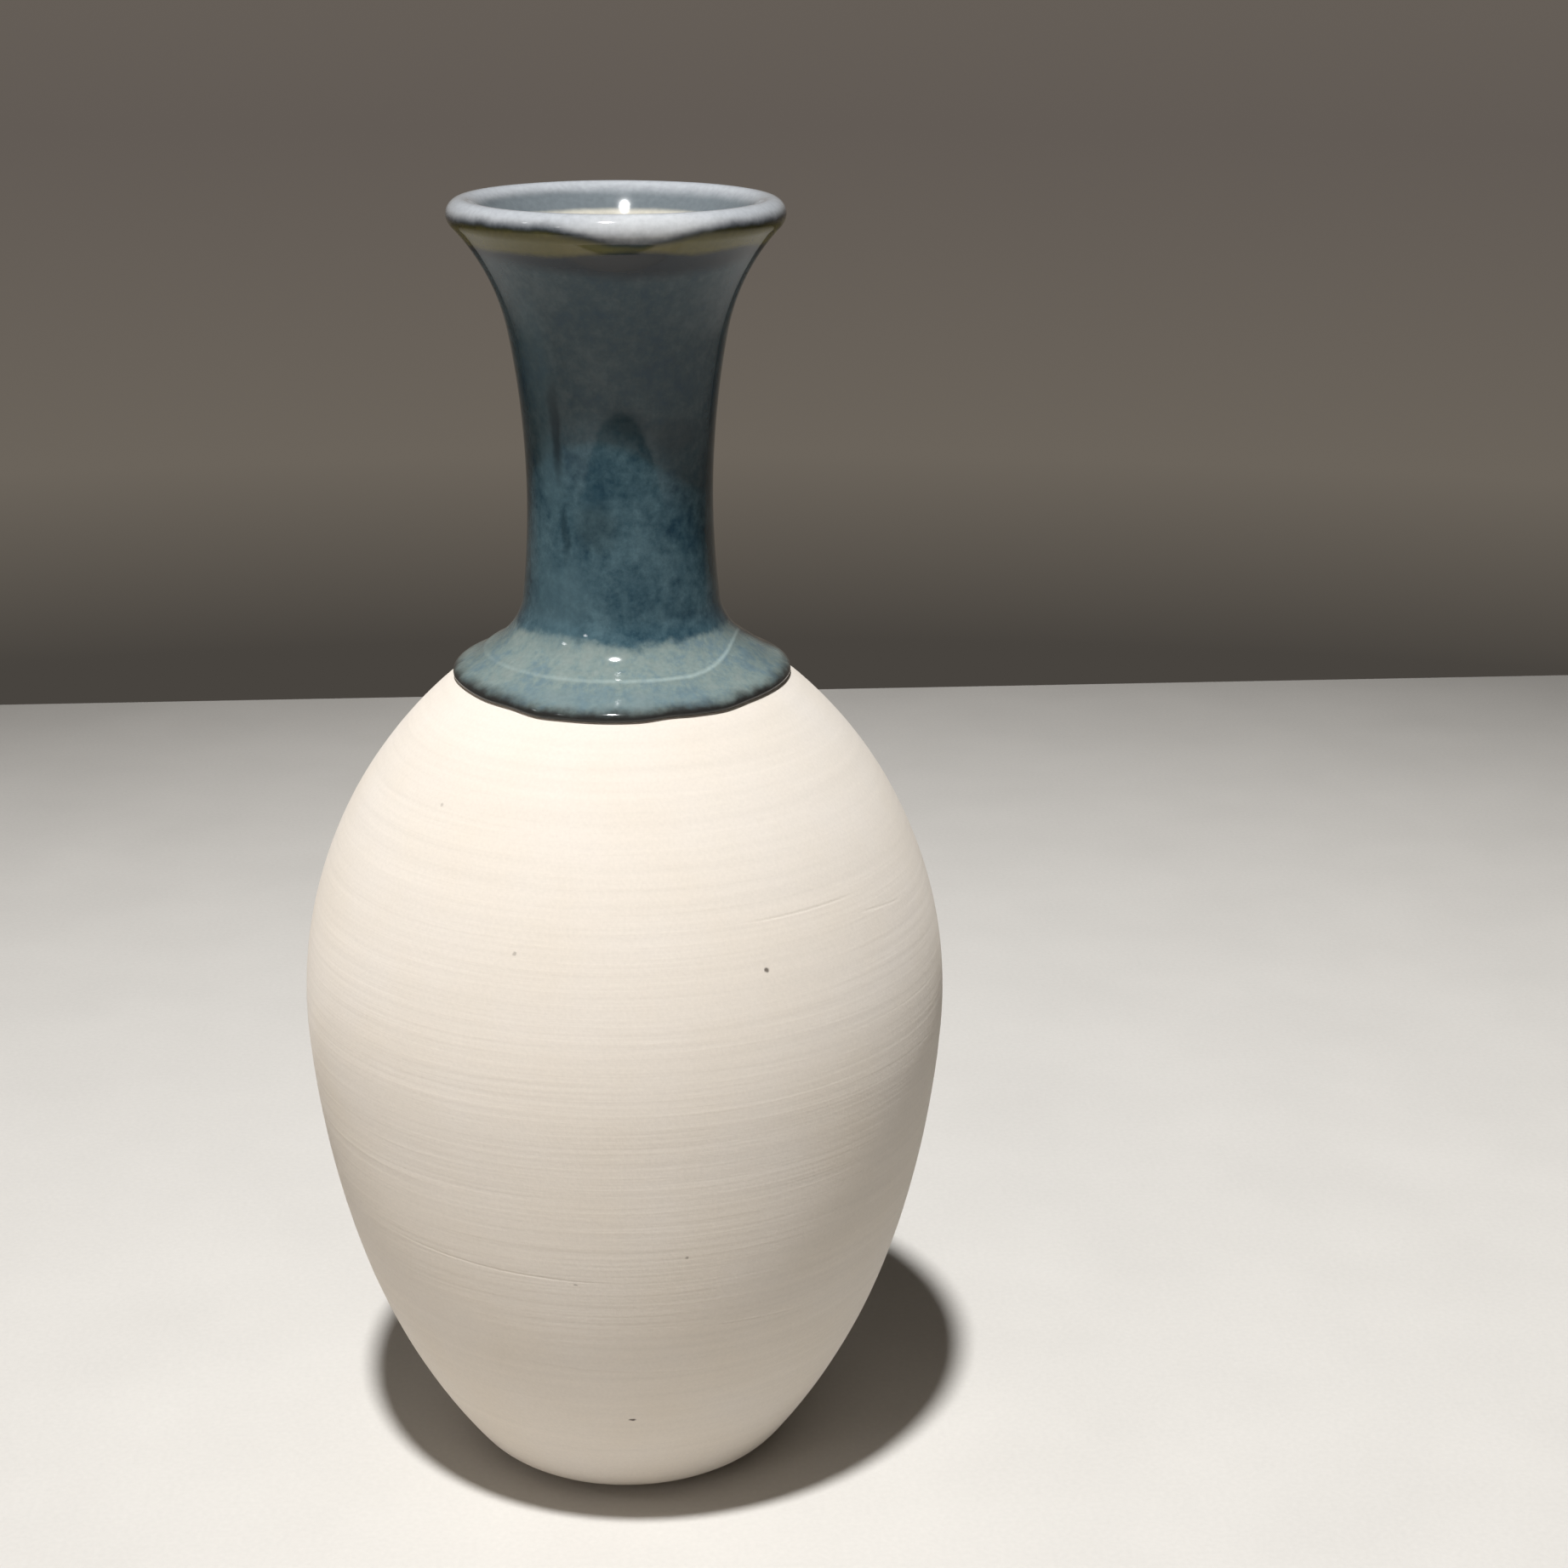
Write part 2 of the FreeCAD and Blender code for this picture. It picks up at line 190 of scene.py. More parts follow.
def outer_rounds(s):
    """The clay's outside from foot to lip, then the inside of the lip."""
    belly = Round(s.belly_radius - s.belly_curve, s.belly_height, s.belly_curve, 1)
    flank_across = beside(belly, s.flank_curve - s.belly_curve, s.flank_height, -1)
    flank = Round(flank_across, s.flank_height, s.flank_curve, 1)
    heel_across = beside(flank, s.flank_curve - s.heel_curve, s.heel_height, 1)
    heel = Round(heel_across, s.heel_height, s.heel_curve, 1)
    foot_across = beside(heel, s.heel_curve - s.foot_curve, s.foot_curve, 1)
    foot = Round(foot_across, s.foot_curve, s.foot_curve, 1)
    neck = Round(s.waist_radius + s.neck_curve, s.waist_height, s.neck_curve, -1)
    root_place = between(belly, s.belly_curve + s.root_curve, neck, s.neck_curve - s.root_curve)
    root = Round(*root_place, s.root_curve, -1)
    lip = Round(s.rim_radius - s.lip_curve, s.clay_height - s.lip_curve, s.lip_curve, 1)
    flare_place = between(neck, s.neck_curve - s.flare_curve, lip, s.flare_curve + s.lip_curve)
    flare = Round(*flare_place, s.flare_curve, -1)
    mouth_across = s.bore_radius + s.mouth_curve
    mouth_drop = math.sqrt((s.mouth_curve - s.lip_curve) ** 2 - (mouth_across - lip.across) ** 2)
    mouth = Round(mouth_across, lip.height - mouth_drop, s.mouth_curve, 1)
    return [foot, heel, flank, belly, root, neck, flare, lip, mouth]


def inner_rounds(s):
    """The clay's inside from the end of the bore down to the floor."""
    _, heel, flank, belly = outer_rounds(s)[:4]
    across = s.bore_radius + s.edge_curve
    reach = s.belly_curve - s.wall + s.edge_curve
    rise = math.sqrt(reach ** 2 - (across - belly.across) ** 2)
    edge = Round(across, belly.height + rise, s.edge_curve, 1)
    walls = [Round(r.across, r.height, r.radius - s.wall, -1) for r in (belly, flank, heel)]
    bowl_height = s.floor_height + s.bowl_curve
    bowl_across = beside(walls[2], walls[2].radius - s.bowl_curve, bowl_height, 1)
    return [edge, *walls, Round(bowl_across, bowl_height, s.bowl_curve, -1)]


def follow(rounds, first, last, skin, spacing):
    """The arcs along a chain of rounds, a skin's thickness outside the clay."""
    facings = [first]
    for here, ahead in zip(rounds, rounds[1:]):
        gap = here.side * here.radius - ahead.side * ahead.radius
        rise = (ahead.height - here.height) / gap
        run = (ahead.across - here.across) / gap
        turn = (math.atan2(rise, run) - facings[-1] + math.pi / 2) % math.tau - math.pi / 2
        facings.append(facings[-1] + turn)
    facings.append(last)
    return [Arc(r.across, r.height, r.side * r.radius + skin, a, b, spacing)
            for r, a, b in zip(rounds, facings, facings[1:])]


def facing_at(rounded, skin, height, inward=False):
    """The way a skin over a round faces at a given height."""
    rise = math.asin((height - rounded.height) / (rounded.side * rounded.radius + skin))
    return math.pi - rise if inward else rise


def back_along(arcs):
    """The same arcs from their end to their start."""
    return [arc._replace(first=arc.last, last=arc.first) for arc in reversed(arcs)]


def on_arc(arc, facing):
    """The place on an arc that faces a given way."""
    return Vector((arc.across + arc.reach * math.cos(facing), 0,
                   arc.height + arc.reach * math.sin(facing)))


# Modelling steps

def draw_line(start, end, spacing):
    """Extrudes the selected vertex along a straight line."""
    steps = math.ceil((end - start).length / spacing)
    for _ in range(steps):
        bpy.ops.mesh.extrude_region_move(TRANSFORM_OT_translate={"value": (end - start) / steps})


def draw_outline(items):
    """Draws a half section in the XZ plane from one vertex, by extruding and spinning it."""
    bpy.ops.object.select_all(action="DESELECT")
    bpy.ops.mesh.primitive_plane_add(size=MM, location=(0, 0, 0), enter_editmode=True)
    bpy.ops.mesh.merge(type="CENTER")
    here = None
    for item in items:
        if isinstance(item, Point):
            start = Vector((item.across, 0, item.height))
        else:
            start = on_arc(item, item.first)
        if here is None:
            bpy.ops.transform.translate(value=start)
        elif (start - here).length > WELD:
            draw_line(here, start, item.spacing)
        here = start
        if isinstance(item, Arc):
            sweep = item.last - item.first
            steps = max(2, round(abs(sweep * item.reach) / item.spacing))
            bpy.ops.mesh.spin(steps=steps, angle=sweep, axis=(0, 1, 0),
                              center=(item.across, 0, item.height))
            here = on_arc(item, item.last)


def throw(name, items, around):
    """A piece made by spinning a half section round the vase's axis."""
    draw_outline(items)
    bpy.ops.mesh.select_all(action="SELECT")
    bpy.ops.mesh.spin(steps=around, angle=math.tau, center=(0, 0, 0), axis=(0, 0, 1))
    bpy.ops.mesh.select_all(action="SELECT")
    bpy.ops.mesh.remove_doubles(threshold=WELD)
    bpy.ops.mesh.normals_make_consistent(inside=False)
    bpy.ops.object.mode_set(mode="OBJECT")
    piece = bpy.context.object
    piece.name = name
    piece.data.name = name
    return piece


def turn_of(place):
    """The turn of a place round the vase, in degrees."""
    return math.degrees(math.atan2(place.x, -place.y))


def stretched_noise(place, around, upward):
    """Smooth noise from 0 to 1 that changes over the given lengths round and up the vase."""
    spot = Vector((place.x / around, place.y / around, place.z / upward))
    return 0.5 + 0.5 * noise.noise(spot)


def eased(share):
    """A share from 0 to 1, held inside that range and eased at both ends."""
    share = min(max(share, 0), 1)
    return share * share * (3 - 2 * share)


def level_at(line, turn):
    """The height in mm of a line that wanders round the vase."""
    level = line.level
    for run in line.runs:
        away = abs((turn - run.turn + 180) % 360 - 180)
        level += run.rise * eased(1 - away / run.half_turn)
    return level


def relief(piece, name, depth, field):
    """Raises a piece along its normals, by depth where the field is 1."""
    group = piece.vertex_groups.new(name=name)
    for vertex in piece.data.vertices:
        group.add([vertex.index], field(vertex.co), "REPLACE")
    modifier = piece.modifiers.new(name, "DISPLACE")
    modifier.vertex_group = name
    modifier.strength = depth
    modifier.mid_level = 0
    bpy.ops.object.modifier_apply(modifier=name)
    piece.vertex_groups.remove(piece.vertex_groups[name])


def paint(piece, name, rule):
    """Gives every vertex a number for the piece's glaze to read."""
    attribute = piece.data.attributes.new(name, "FLOAT", "POINT")
    attribute.data.foreach_set("value", [rule(vertex) for vertex in piece.data.vertices])


def finish_piece(piece, material, node_name):
    """Smooths a piece, gives it its material and puts it in the CAD node's stead."""
    bpy.ops.object.select_all(action="DESELECT")
    piece.select_set(True)
    bpy.context.view_layer.objects.active = piece
    bpy.ops.object.shade_smooth_by_angle(angle=math.radians(40))
    piece.data.materials.append(material)
    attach(piece, "root")
    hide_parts(node_name)


# Surfaces

def node(tree, kind, inputs=None, stops=(), **settings):
    """Adds a node with its settings, its ramp's stops, and a value or a link for each input."""
    made = tree.nodes.new("ShaderNode" + kind)
    for name, value in settings.items():
        setattr(made, name, value)
    for number, (place, shade) in enumerate(stops):
        ramp = made.color_ramp.elements
        stop = ramp[number] if number < len(ramp) else ramp.new(place)
        stop.position = place
        stop.color = (*shade, 1)
    for key, value in (inputs or {}).items():
        usable = [socket for socket in made.inputs if socket.enabled]
        named = [socket for socket in usable if socket.name == key]
        socket = usable[key] if isinstance(key, int) else named[0]
        if isinstance(value, bpy.types.Node):
            value = next(output for output in value.outputs if output.enabled)
        if isinstance(value, bpy.types.NodeSocket):
            tree.links.new(value, socket)
        elif socket.type == "RGBA":
            socket.default_value = (*value, 1)
        else:
            socket.default_value = value
    return made


def new_material(name, **shader_settings):
    """A material with one Principled shader: its tree, its shader and its Object coordinates."""
    material = bpy.data.materials.new(name)
    material.use_nodes = True
    tree = material.node_tree
    shader = tree.nodes["Principled BSDF"]
    for key, value in shader_settings.items():
        shader.inputs[key.replace("_", " ")].default_value = value
    coordinates = node(tree, "TexCoord").outputs["Object"]
    return material, tree, shader, coordinates


# A mark on a surface: where its middle is, its half width in degrees of turn, its half
# height in mm, its colour and how strongly it covers
Mark = namedtuple("Mark", "turn height half_turn half_height colour strength")


def surface_place(tree, coordinates, wander_turn, wander_height, grain):
    """The turn in degrees and height in mm of each place, shaken by noise of a given grain."""
    parts = node(tree, "SeparateXYZ", {0: coordinates})
    outward = node(tree, "Math", {0: parts.outputs["Y"], 1: -1}, operation="MULTIPLY")
    angle = node(tree, "Math", {0: parts.outputs["X"], 1: outward}, operation="ARCTAN2")
    turn = node(tree, "Math", {0: angle}, operation="DEGREES")
    height = node(tree, "Math", {0: parts.outputs["Z"], 1: MM}, operation="DIVIDE")
    place = node(tree, "CombineXYZ", {"X": turn, "Y": height})
    shake = node(tree, "TexNoise", {"Vector": coordinates, "Scale": 1 / grain, "Detail": 2})
    centred = node(tree, "VectorMath", {0: shake.outputs["Color"], 1: (0.5, 0.5, 0.5)},
                   operation="SUBTRACT")
    return node(tree, "VectorMath", {0: centred, 1: (wander_turn, wander_height, 0), 2: place},
                operation="MULTIPLY_ADD")


def add_marks(tree, place, base, marks, colours, softness):
    """A colour with each mark laid over it, its rim softened over a share of its size."""
    for mark in marks:
        away = node(tree, "VectorMath", {0: place, 1: (mark.turn, mark.height, 0)},
                    operation="SUBTRACT")
        sized = node(tree, "VectorMath", {0: away, 1: (mark.half_turn, mark.half_height, 1)},
                     operation="DIVIDE")
        reach = node(tree, "VectorMath", {0: sized}, operation="LENGTH")
        cover = node(tree, "MapRange", {"Value": reach, "From Min": 1 + softness,
                                        "From Max": 1 - softness, "To Max": mark.strength},
                     interpolation_type="SMOOTHSTEP")
        base = node(tree, "Mix", {"Factor": cover, "A": base, "B": getattr(colours, mark.colour)},
                    data_type="RGBA")
    return base


# Iron specks and pits in the bare clay
CLAY_MARKS = (
    Mark(25, 87, 0.4, 0.3, "iron", 0.9),
    Mark(0, 19, 0.8, 0.2, "iron", 1.0),
    Mark(-20, 90, 0.35, 0.25, "iron", 0.4),
    Mark(-45, 105, 0.4, 0.2, "iron", 0.3),
    Mark(10, 48, 0.3, 0.2, "iron", 0.5),
    Mark(-10, 44, 0.4, 0.15, "iron", 0.4),
    Mark(140, 60, 0.4, 0.3, "iron", 0.8),
    Mark(-130, 35, 0.35, 0.25, "iron", 0.6),
)

# Fine lines left by the rib and the trimming tool: turn and height of the middle, half
# the length in degrees, fall in mm per degree, depth as a share of the deepest
Scratch = namedtuple("Scratch", "turn height half_turn fall depth")
SCRATCHES = (
    Scratch(35, 93, 15, 0.0, 1.0),
    Scratch(55, 90, 8, 0.08, 0.7),
    Scratch(-25, 45, 25, 0.03, 1.0),
    Scratch(20, 36, 18, 0.05, 0.9),
    Scratch(-5, 29, 30, 0.04, 0.6),
    Scratch(120, 40, 25, 0.03, 0.9),
    Scratch(-150, 83, 20, 0.02, 0.8),
)


def bisque(colours):
    """Bare stoneware, bisque matte and smoothed by a rib.

    The eye gets a chalky warm white with faint level bands from the wheel, a grain like
    very fine sand, hairlines and a few iron specks."""
    material, tree, shader, coordinates = new_material(
        "bare_stoneware", Roughness=0.88, Specular_IOR_Level=0.25, Diffuse_Roughness=0.25)
    clouds = node(tree, "TexNoise", {"Vector": coordinates, "Scale": 1 / (14 * MM), "Detail": 3})
    warm = node(tree, "Mix", {"Factor": clouds, "A": colours.clay, "B": colours.clay_warm},
                data_type="RGBA")
    level = node(tree, "Mapping", {"Vector": coordinates, "Scale": (1 / 45, 1 / 45, 1 / 0.9)})
    bands = node(tree, "TexNoise", {"Vector": level, "Scale": 1 / MM, "Detail": 3})
    grain = node(tree, "TexNoise", {"Vector": coordinates, "Scale": 1 / (0.45 * MM), "Detail": 2})
    tone = node(tree, "Math", {0: bands, 1: grain}, operation="ADD")
    shade = node(tree, "MapRange", {"Value": tone, "From Min": 0.6, "From Max": 1.4,
                                    "To Min": 0.94, "To Max": 1.03})
    toned = node(tree, "VectorMath", {0: warm, "Scale": shade}, operation="SCALE")
    place = surface_place(tree, coordinates, 0.5, 0.25, 0.6 * MM)
    marked = add_marks(tree, place, toned, CLAY_MARKS, colours, 0.45)
    tree.links.new(marked.outputs[2], shader.inputs["Base Color"])

    # Hairlines run nearly level, 0.5 mm wide, falling a little towards +X
    parts = node(tree, "SeparateXYZ", {0: place})
    cut = None
    for scratch in SCRATCHES:
        along = node(tree, "Math", {0: parts.outputs["X"], 1: scratch.turn}, operation="SUBTRACT")
        line = node(tree, "Math", {0: along, 1: scratch.fall, 2: parts.outputs["Y"]},
                    operation="MULTIPLY_ADD")
        off = node(tree, "Math", {0: line, 1: scratch.height}, operation="SUBTRACT")
        away = node(tree, "Math", {0: off}, operation="ABSOLUTE")
        width = node(tree, "MapRange", {"Value": away, "From Min": 0.28, "From Max": 0.0,
                                        "To Max": scratch.depth},
                     interpolation_type="SMOOTHSTEP")
        far = node(tree, "Math", {0: along}, operation="ABSOLUTE")
        ends = node(tree, "MapRange", {"Value": far, "From Min": scratch.half_turn,
                                       "From Max": scratch.half_turn * 0.4},
                    interpolation_type="SMOOTHSTEP")
        groove = node(tree, "Math", {0: width, 1: ends}, operation="MULTIPLY")
        cut = groove if cut is None else node(tree, "Math", {0: cut, 1: groove},
                                              operation="MAXIMUM")
    cut_bump = node(tree, "Bump", {"Strength": 0.5, "Distance": 0.06 * MM, "Height": cut},
                    invert=True)
    band_bump = node(tree, "Bump", {"Strength": 0.6, "Distance": 0.08 * MM, "Height": bands,
                                    "Normal": cut_bump})
    grain_bump = node(tree, "Bump", {"Strength": 0.3, "Distance": 0.04 * MM, "Height": grain,
                                     "Normal": band_bump})
    tree.links.new(grain_bump.outputs[0], shader.inputs["Normal"])
    return material


# A line of the glaze: its level in mm, and the runs that lift or lower it by a rise in mm,
# each about a turn and over a half width in degrees
Line = namedtuple("Line", "level runs")
Run = namedtuple("Run", "turn rise half_turn")
EDGE_LINE = Line(116.5, (Run(-5, -0.6, 70), Run(-40, 0.12, 14), Run(-28, -0.12, 12),
                         Run(15, 0.15, 10), Run(35, -0.15, 12)))
RING_LINE = Line(120, (Run(80, 2.2, 55),))
BLUE_LINE = Line(124, (Run(-35, 0.6, 30), Run(5, -0.5, 25), Run(140, 0.6, 50)))
# The arch is a painted reflection: it follows where the table's reflection in the neck ends, front
# and back
ARCH_REFLECTION_LINE = Line(142, (Run(-15, 8, 85), Run(165, 8, 70)))
BAND_LINE = Line(173.3, (Run(10, -1.5, 65), Run(140, -1.2, 50)))
AMBER_LINE = Line(174.9, (Run(5, 0.9, 30), Run(50, 0.6, 25)))
MILK_LINE = Line(178.9, (Run(6, -1.7, 30), Run(150, -2, 60), Run(-80, -0.4, 30)))

# A zone of glaze. gap names the painted number it follows, in mm above its line. It
# comes in from start to full, where wander is how far noise shakes it. A zone that is a
# line is measured by its distance either side.
Zone = namedtuple("Zone", "gap line colour start full wander")
LOW_ZONES = (
    Zone("ring_gap", True, "ring", 0.30, 0.0, 0.2),
    Zone("blue_gap", False, "root", -0.9, 0.6, 3.0),
    # Above the arch the neck turns greyer: partly the glaze's own grey teal, partly painted
    # reflection
    Zone("arch_reflection_gap", False, "neck_grey", -0.6, 1.2, 1.6),
)
HIGH_ZONES = (
    Zone("band_gap", False, "band", -0.6, 1.6, 1.0),
    Zone("amber_gap", True, "band", 0.9, 0.0, 0.5),
    Zone("amber_gap", False, "amber", -0.3, 0.7, 0.7),
    Zone("milk_gap", True, "band", 1.3, 0.1, 0.6),
    Zone("milk_gap", False, "milk", -0.6, 1.0, 0.9),
    # The near black edge zone is partly dark glaze and partly painted shade under the rolled bead
    Zone("edge_gap", False, "edge", 2.0, 0.5, 1.4),
)
INNER_ZONES = (
    Zone("inner_gap", False, "inner_grey", 0.2, 2.0, 0.5),
    Zone("inner_gap", False, "cream", 3.1, 3.8, 0.3),
)

# Pools, streaks and pale places in the blue, with painted shade down the neck's two sides and a
# painted dark reflection just above the arch
GLAZE_MARKS = (
    Mark(-45, 146, 10, 5, "pale", 0.5),
    Mark(-40, 152, 4, 6, "navy_pool_and_shade", 0.75),
    Mark(-50, 160, 12, 9, "pale", 0.3),
    Mark(-40, 129, 22, 5, "pale", 0.6),
    # Painted reflection: a dark patch just above the arch, where something dark in front is
    # mirrored in the neck
    Mark(5, 153, 14, 2, "navy_pool_and_shade", 0.3),
    Mark(35, 151, 20, 2, "navy_pool_and_shade", 0.35),
    Mark(-15, 143, 8, 2, "neck", 0.4),
    Mark(-15, 139, 12, 3, "olive", 0.3),
    Mark(-35, 138, 3, 3, "navy_pool_and_shade", 0.4),
    # Painted shade: the neck is darkened down its two sides, where it turns away
    Mark(80, 140, 20, 18, "navy_pool_and_shade", 0.6),
    Mark(-85, 140, 16, 18, "navy_pool_and_shade", 0.5),
    Mark(-10, 118, 40, 1, "collar_blue", 0.5),
    Mark(125, 147, 14, 4, "pale", 0.5),
    Mark(145, 153, 16, 3, "navy_pool_and_shade", 0.6),
    Mark(-125, 150, 3, 7, "neck", 0.7),
    Mark(-150, 138, 15, 4, "olive", 0.45),
)

# Where the white lies thickest on the lip
LIP_MARKS = (
    Mark(12, 179.5, 22, 1.3, "opal", 0.45),
)


def add_zones(tree, base, zones, shades, shake):
    """A colour with each zone of glaze laid over it from its own line upwards."""
    for zone in zones:
        gap = node(tree, "Attribute", attribute_name=zone.gap).outputs["Fac"]
        moved = node(tree, "Math", {0: shake, 1: zone.wander, 2: gap}, operation="MULTIPLY_ADD")
        if zone.line:
            moved = node(tree, "Math", {0: moved}, operation="ABSOLUTE")
        cover = node(tree, "MapRange", {"Value": moved, "From Min": zone.start,
                                        "From Max": zone.full},
                     interpolation_type="SMOOTHSTEP")
        base = node(tree, "Mix", {"Factor": cover, "A": base, "B": shades[zone.colour]},
                    data_type="RGBA")
    return base


def poured_glaze(name, colours, inner):
    """Stoneware glaze, poured and fired glossy.

    The eye gets pooled blue over teal, a near black line where the coat stops that is partly
    painted shade under its rolled edge, an amber line where the two dips overlap, fine cloudy
    flecks and a wet shine with a slight orange peel. Painted shade darkens the neck's two
    sides, the arch and the grey above it are partly painted reflection, and a painted dark
    reflection lies just above the arch. The neck's coat and the lip's coat share it, so no
    join shows."""
    material, tree, shader, coordinates = new_material(
        name, Roughness=0.07, IOR=1.5, Specular_IOR_Level=0.38)
    soft = node(tree, "TexNoise", {"Vector": coordinates, "Scale": 1 / (3 * MM), "Detail": 4,
                                   "Roughness": 0.6})
    shake = node(tree, "Math", {0: soft, 1: 0.5}, operation="SUBTRACT")
    clouds = node(tree, "TexNoise", {"Vector": coordinates, "Scale": 1 / (7 * MM), "Detail": 5,
                                     "Roughness": 0.6})
    flecks = node(tree, "TexNoise", {"Vector": coordinates, "Scale": 1 / (1.6 * MM), "Detail": 4,
                                     "Roughness": 0.7})
    grains = node(tree, "TexNoise", {"Vector": coordinates, "Scale": 1 / (0.7 * MM), "Detail": 3})
    both = node(tree, "Math", {0: clouds, 1: flecks}, operation="ADD")
    flecked = node(tree, "Math", {0: both, 1: 0.5}, operation="MULTIPLY")

    # Each shade is cloudy in its own way: deep pools, the shade itself, pale flecks
    shades = {
        "collar": node(tree, "ValToRGB", {0: flecked}, stops=(
            (0.40, colours.collar_blue), (0.5, colours.collar), (0.60, colours.collar_grey))),
        "root": node(tree, "ValToRGB", {0: flecked}, stops=(
            (0.34, colours.neck), (0.49, colours.root), (0.64, colours.pale))),
        # The upper neck's grey and pale grey clouds are partly painted reflection
        "neck_grey": node(tree, "ValToRGB", {0: flecked}, stops=(
            (0.38, colours.neck), (0.48, colours.neck_grey), (0.60, colours.pale_cloud_and_sheen))),
        "band": colours.band, "amber": colours.amber, "milk": colours.milk, "edge": colours.edge,
        "inner_grey": colours.inner_grey, "cream": colours.cream,
    }
    # The ring is worn away on the -X side
    across = node(tree, "SeparateXYZ", {0: coordinates}).outputs["X"]
    worn = node(tree, "MapRange", {"Value": across, "From Min": -18 * MM, "From Max": 16 * MM,
                                   "To Min": 0.12, "To Max": 0.55})
    shades["ring"] = node(tree, "Mix", {"Factor": worn, "A": shades["collar"], "B": colours.ring},
                          data_type="RGBA")
    base = add_zones(tree, shades["collar"], LOW_ZONES, shades, shake)
    place = surface_place(tree, coordinates, 8, 2.0, 4 * MM)
    base = add_marks(tree, place, base, GLAZE_MARKS, colours, 0.55)
    base = add_zones(tree, base, HIGH_ZONES, shades, shake)
    if inner:
        base = add_zones(tree, base, INNER_ZONES, shades, shake)
        base = add_marks(tree, place, base, LIP_MARKS, colours, 0.6)
    shade = node(tree, "MapRange", {"Value": grains, "From Min": 0.3, "From Max": 0.7,
                                    "To Min": 0.93, "To Max": 1.07})
    toned = node(tree, "VectorMath", {0: base, "Scale": shade}, operation="SCALE")
    tree.links.new(toned.outputs[0], shader.inputs["Base Color"])
    peel = node(tree, "Bump", {"Strength": 0.06, "Distance": 0.05 * MM, "Height": clouds})
    pits = node(tree, "Bump", {"Strength": 0.05, "Distance": 0.02 * MM, "Height": flecks,
                               "Normal": peel})
    tree.links.new(pits.outputs[0], shader.inputs["Normal"])
    return material


def cream_glaze(colours):
    """Clear liner glaze over the pale clay, glossy.

    The eye gets a warm cream with faint clouds where the coat is thicker."""
    material, tree, shader, coordinates = new_material("cream_liner_glaze", Roughness=0.12)
    clouds = node(tree, "TexNoise", {"Vector": coordinates, "Scale": 1 / (6 * MM), "Detail": 3})
    shade = node(tree, "MapRange", {"Value": clouds, "To Min": 0.9, "To Max": 1.08})
    toned = node(tree, "VectorMath", {0: colours.cream, "Scale": shade}, operation="SCALE")
    tree.links.new(toned.outputs[0], shader.inputs["Base Color"])
    peel = node(tree, "Bump", {"Strength": 0.1, "Distance": 0.05 * MM, "Height": clouds})
    tree.links.new(peel.outputs[0], shader.inputs["Normal"])
    return material


def pale_plaster(colours):
    """A pale plaster table top, trowelled flat.

    The eye gets an off white with a soft grain and faint clouds."""
    material, tree, shader, coordinates = new_material("pale_plaster", Roughness=0.8)
    clouds = node(tree, "TexNoise", {"Vector": coordinates, "Scale": 1 / (30 * MM), "Detail": 4})
    grain = node(tree, "TexNoise", {"Vector": coordinates, "Scale": 1 / (0.8 * MM), "Detail": 3})
    tone = node(tree, "Math", {0: clouds, 1: grain}, operation="ADD")
    shade = node(tree, "MapRange", {"Value": tone, "From Min": 0.5, "From Max": 1.5,
                                    "To Min": 0.94, "To Max": 1.06})
    toned = node(tree, "VectorMath", {0: colours.table, "Scale": shade}, operation="SCALE")
    tree.links.new(toned.outputs[0], shader.inputs["Base Color"])
    bump = node(tree, "Bump", {"Strength": 0.2, "Distance": 0.1 * MM, "Height": grain})
    tree.links.new(bump.outputs[0], shader.inputs["Normal"])
    return material


# Pieces

def paint_gaps(piece, sizes):
    """Paints how far each place lies above each wandering line, in mm, for the glaze."""
    top = sizes.clay_height + sizes.glaze
    lines = {"edge_gap": EDGE_LINE, "ring_gap": RING_LINE, "blue_gap": BLUE_LINE,
             "arch_reflection_gap": ARCH_REFLECTION_LINE, "band_gap": BAND_LINE, "amber_gap": AMBER_LINE,
             "milk_gap": MILK_LINE}

    def above(line):
        return lambda vertex: vertex.co.z / MM - level_at(line, turn_of(vertex.co))

    def inside(vertex):
        outward = vertex.normal.x * vertex.co.x + vertex.normal.y * vertex.co.y
        fall = (top - vertex.co.z) / MM
        return fall if outward < 0 else -fall

    for name, line in lines.items():
        paint(piece, name, above(line))
    paint(piece, "inner_gap", inside)


def make_clay(sizes, colours):
    """The thrown and trimmed clay, with its faint throwing ridges."""
    s = sizes
    outer = outer_rounds(s)
    foot = outer[0]
    hollow = Round(s.recess_radius - s.recess_edge, s.recess_depth - s.recess_edge,
                   s.recess_edge, -1)
    lip_of_hollow = Round(s.recess_radius + s.recess_edge, s.recess_edge, s.recess_edge, 1)
    down, level, up = -math.pi / 2, math.pi, math.pi / 2
    fine, medium, coarse = 0.8 * MM, 2 * MM, 3 * MM
    items = [
        Point(0, s.recess_depth, coarse),
        *follow([hollow], down, -level, 0, 0.1 * MM),
        *follow([lip_of_hollow], -level, down, 0, 0.1 * MM),
        *follow(outer[:4], down, math.radians(56), 0, fine),
        *follow(outer[3:], math.radians(56), level, 0, medium),
        *follow(inner_rounds(s), level, up, 0, coarse),
        Point(0, s.floor_height, coarse),
    ]
    piece = throw("clay", items, 224)

    def ridges(place):
        return stretched_noise(place, 70 * MM, 8 * MM) * eased(place.z / s.foot_curve)

    def fine_ridges(place):
        return stretched_noise(place, 40 * MM, 2.4 * MM) * eased(place.z / s.foot_curve)

    relief(piece, "ridges", 0.05 * MM, ridges)
    relief(piece, "fine_ridges", 0.015 * MM, fine_ridges)
    finish_piece(piece, bisque(colours), "clay_body")


